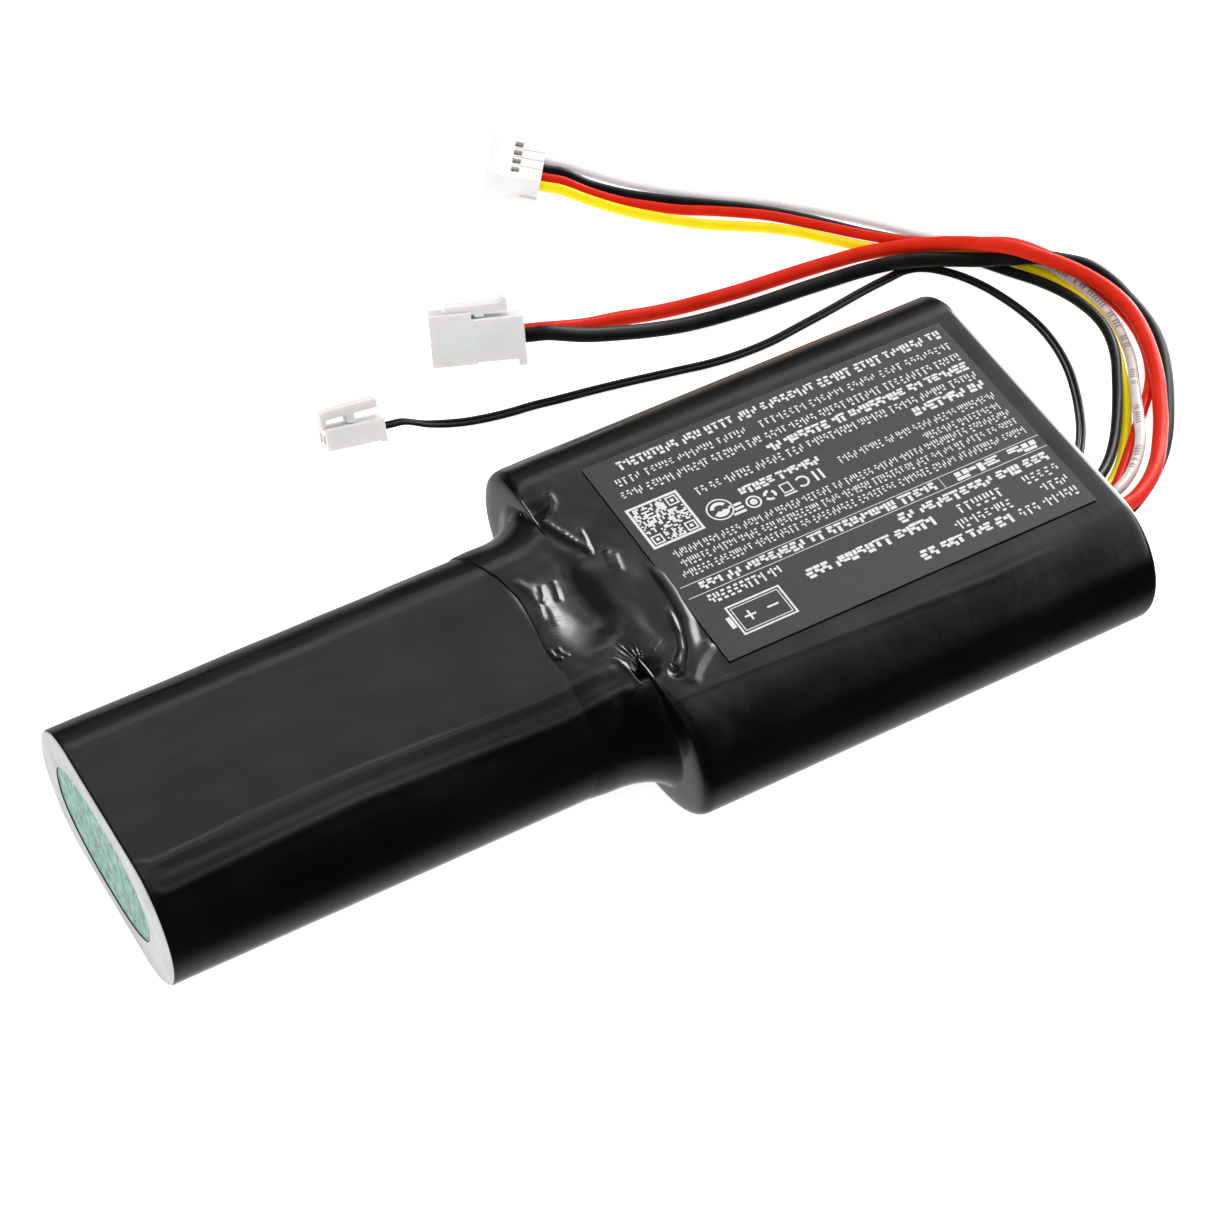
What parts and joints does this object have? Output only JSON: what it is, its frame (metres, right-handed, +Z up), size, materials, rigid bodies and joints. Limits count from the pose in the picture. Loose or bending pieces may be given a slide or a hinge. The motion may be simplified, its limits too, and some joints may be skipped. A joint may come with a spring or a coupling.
{
  "type": "battery pack",
  "caption": "Stepped flat pack of round cells in black shrink film, with colour-coded leads that end in latching and balance connectors.",
  "frame": {"origin": "centre of the pack's own box, on the surface it lies on (leads and connectors left out)", "axes": "+X from the narrow end to the wire end, +Y across the cells towards the connectors, +Z up out of the label"},
  "size_m": [0.1683, 0.1224, 0.0196],
  "materials": {
    "film": "glossy heat-shrunk film with puckers at the corners",
    "film_narrow": "glossy heat-shrunk film",
    "label": "matte printed label",
    "paper": "mottled green fish paper",
    "can_steel": "nickel-plated steel",
    "cell_wrap": "thin shrunk wrap",
    "gasket": "plain",
    "nickel": "rolled nickel strip",
    "inner_jacket": "wire jacket",
    "epoxy": "dipped epoxy",
    "adhesive": "cured adhesive",
    "jacket_red": "satin wire jacket",
    "jacket_black": "satin wire jacket",
    "jacket_white": "milky wire jacket with faint print",
    "jacket_black_thin": "satin wire jacket",
    "jacket_red_thin": "satin wire jacket",
    "jacket_yellow": "satin wire jacket",
    "jacket_sensor": "satin wire jacket",
    "nylon": "moulded nylon, slightly translucent",
    "nylon_power": "moulded nylon, slightly translucent",
    "nylon_sensor": "moulded nylon, slightly translucent",
    "brass": "tin-plated brass contact"
  },
  "bodies": {
    "pack": {"wide_sleeve": "film", "narrow_sleeve": "film_narrow", "rating_label": "label", "paper_narrow_end": "paper", "paper_wire_end": "paper", "paper_middle": "paper", "cell_1_can": "can_steel", "cell_1_wrap": "cell_wrap", "cell_1_cap": "can_steel", "cell_1_gasket": "gasket", "cell_2_can": "can_steel", "cell_2_wrap": "cell_wrap", "cell_2_cap": "can_steel", "cell_2_gasket": "gasket", "cell_3_can": "can_steel", "cell_3_wrap": "cell_wrap", "cell_3_cap": "can_steel", "cell_3_gasket": "gasket", "cell_4_can": "can_steel", "cell_4_wrap": "cell_wrap", "cell_4_cap": "can_steel", "cell_4_gasket": "gasket", "cell_5_can": "can_steel", "cell_5_wrap": "cell_wrap", "cell_5_cap": "can_steel", "cell_5_gasket": "gasket", "tab_negative": "nickel", "tab_1_2": "nickel", "tab_2_3": "nickel", "tab_3_4": "nickel", "tab_4_5": "nickel", "tab_positive": "nickel", "inner_lead_positive": "inner_jacket", "inner_lead_1_2": "inner_jacket", "inner_lead_2_3": "inner_jacket", "inner_lead_3_4": "inner_jacket", "thermistor_bead": "epoxy", "adhesive_bead": "adhesive", "wire_power_red": "jacket_red", "wire_power_black": "jacket_black", "wire_tap_white": "jacket_white", "wire_tap_black": "jacket_black_thin", "wire_tap_red": "jacket_red_thin", "wire_tap_yellow": "jacket_yellow", "wire_sensor_a": "jacket_sensor", "wire_sensor_b": "jacket_sensor", "balance_housing": "nylon", "balance_contact_1": "brass", "balance_contact_2": "brass", "balance_contact_3": "brass", "balance_contact_4": "brass", "power_housing": "nylon_power", "power_contact_1": "brass", "power_contact_2": "brass", "sensor_housing": "nylon_sensor", "sensor_contact_1": "brass", "sensor_contact_2": "brass"},
    "power_latch": {"power_latch": "nylon_power"},
    "sensor_latch": {"sensor_latch": "nylon_sensor"}
  },
  "joints": [
    {"name": "power_latch_press", "type": "hinge", "parent": "pack", "child": "power_latch", "pos_m": [0.0165, 0.05968, 0.00765], "axis": [0.3488, 0.7189, -0.6012], "range_deg": [0, 7], "stiffness_Nm_per_rad": 0.02},
    {"name": "sensor_latch_press", "type": "hinge", "parent": "pack", "child": "sensor_latch", "pos_m": [-0.00673, 0.0534, 0.00434], "axis": [0.1142, 0.8014, -0.5872], "range_deg": [0, 8], "stiffness_Nm_per_rad": 0.01}
  ]
}
